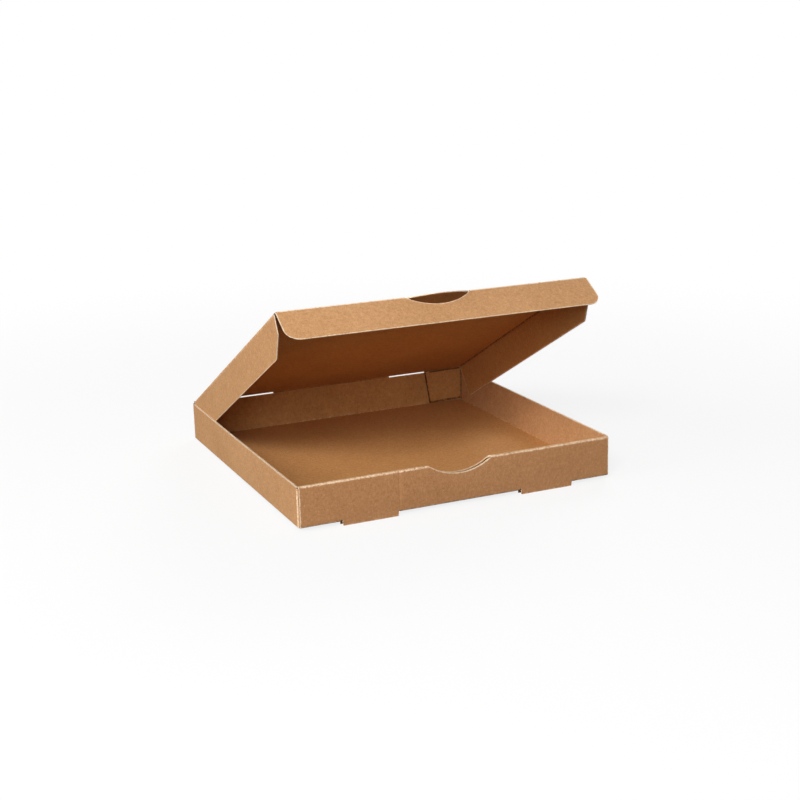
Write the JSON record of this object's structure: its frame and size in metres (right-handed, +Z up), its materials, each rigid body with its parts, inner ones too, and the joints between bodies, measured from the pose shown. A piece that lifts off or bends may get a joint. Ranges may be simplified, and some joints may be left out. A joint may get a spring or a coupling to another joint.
{
  "type": "pizza box",
  "caption": "Square folding box of brown corrugated board with a rolled front wall, a thumb notch and a hinged lid with tuck flaps, for carrying a pizza.",
  "frame": {"origin": "on the resting plane, under the middle of the tray", "axes": "+X to the right as seen from the front wall, +Y to the back wall with the lid's hinge, +Z up"},
  "size_m": [0.33, 0.33, 0.2024],
  "materials": {
    "kraft_board": "matte, uncoated brown kraft liner over fluted board"
  },
  "bodies": {
    "tray": {"tray": "kraft_board"},
    "lid": {"lid": "kraft_board"},
    "lid_front_flap": {"lid_front_flap": "kraft_board"},
    "lid_left_flap": {"lid_left_flap": "kraft_board"},
    "lid_right_flap": {"lid_right_flap": "kraft_board"}
  },
  "joints": [
    {"name": "lid_hinge", "type": "hinge", "parent": "tray", "child": "lid", "pos_m": [0, 0.16425, 0.04505], "axis": [-1, 0, 0], "range_deg": [-25.5, 152]},
    {"name": "front_flap_fold", "type": "hinge", "parent": "lid", "child": "lid_front_flap", "pos_m": [0, -0.12041, 0.19641], "axis": [1, 0, 0], "range_deg": [-60, 32]},
    {"name": "left_flap_fold", "type": "hinge", "parent": "lid", "child": "lid_left_flap", "pos_m": [-0.1611, 0.16376, 0.04412], "axis": [0, -0.8829, 0.4695], "range_deg": [0, 75]},
    {"name": "right_flap_fold", "type": "hinge", "parent": "lid", "child": "lid_right_flap", "pos_m": [0.1611, 0.16376, 0.04412], "axis": [0, 0.8829, -0.4695], "range_deg": [0, 75]}
  ]
}
